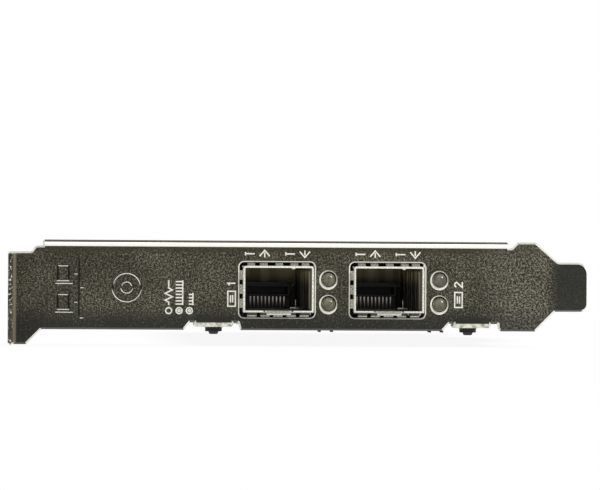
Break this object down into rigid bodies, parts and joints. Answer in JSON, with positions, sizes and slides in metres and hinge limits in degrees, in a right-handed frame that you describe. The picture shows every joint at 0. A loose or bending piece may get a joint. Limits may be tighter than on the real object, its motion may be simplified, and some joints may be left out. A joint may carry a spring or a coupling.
{
  "type": "network interface card",
  "caption": "Full-height expansion card with two cages for pluggable optical modules, indicator lamps, a cooled controller and an edge connector.",
  "frame": {"origin": "corner of the bracket where the seating face of its mounting tab would meet its front face, level with the lower edge of the front face", "axes": "+X along the bracket from the tab to the tongue, +Y from the bracket's front face over the board to the card's free end, +Z from the board up to the component side"},
  "size_m": [0.1201, 0.1514, 0.0215],
  "materials": {
    "bracket_steel": "dark nickel-plated steel with a fine mottled grain and bright stamped edges",
    "screw_steel": "zinc-plated",
    "solder_mask": "glossy green solder mask over glass-epoxy board",
    "gold_contact": "hard gold plating",
    "cage_tin": "bright nickel-plated sheet",
    "spring_tin": "bright tin-plated spring sheet",
    "black_moulding": "black moulded plastic",
    "lamp_lens": "clear tinted epoxy",
    "tinned_pin": "tinned wire",
    "chip_package": "moulded package",
    "thermal_pad": "soft grey pad",
    "heatsink_aluminium": "extruded aluminium, satin",
    "push_pin_nylon": "natural nylon",
    "inductor_grey": "pressed iron powder",
    "capacitor_can": "drawn aluminium can",
    "capacitor_ceramic": "tan ceramic with tinned ends",
    "resistor_black": "black glazed with tinned ends",
    "crystal_lid": "plated lid on a ceramic foot"
  },
  "bodies": {
    "root": {"bracket": "bracket_steel", "bracket_screws": "screw_steel", "circuit_board": "solder_mask", "edge_contacts_top": "gold_contact", "edge_contacts_bottom": "gold_contact", "cage_1": "cage_tin", "cage_2": "cage_tin", "cage_floor_1": "cage_tin", "cage_floor_2": "cage_tin", "emi_spring_1": "spring_tin", "emi_spring_2": "spring_tin", "socket_1": "black_moulding", "socket_2": "black_moulding", "socket_contacts_1": "gold_contact", "socket_contacts_2": "gold_contact", "lamp_holder_1": "black_moulding", "lamp_holder_2": "black_moulding", "lamp_upper_1": "lamp_lens", "lamp_lower_1": "lamp_lens", "lamp_upper_2": "lamp_lens", "lamp_lower_2": "lamp_lens", "lamp_pins_1": "tinned_pin", "lamp_pins_2": "tinned_pin", "controller_chip": "chip_package", "thermal_pad": "thermal_pad", "heatsink": "heatsink_aluminium", "heatsink_pins": "push_pin_nylon", "retimer_chips": "chip_package", "flash_memory": "chip_package", "settings_memory": "chip_package", "inductors": "inductor_grey", "polymer_capacitors": "capacitor_can", "power_switches": "chip_package", "ceramic_capacitors": "capacitor_ceramic", "resistors": "resistor_black", "crystal": "crystal_lid", "solder_side_capacitors": "capacitor_ceramic"}
  },
  "joints": []
}
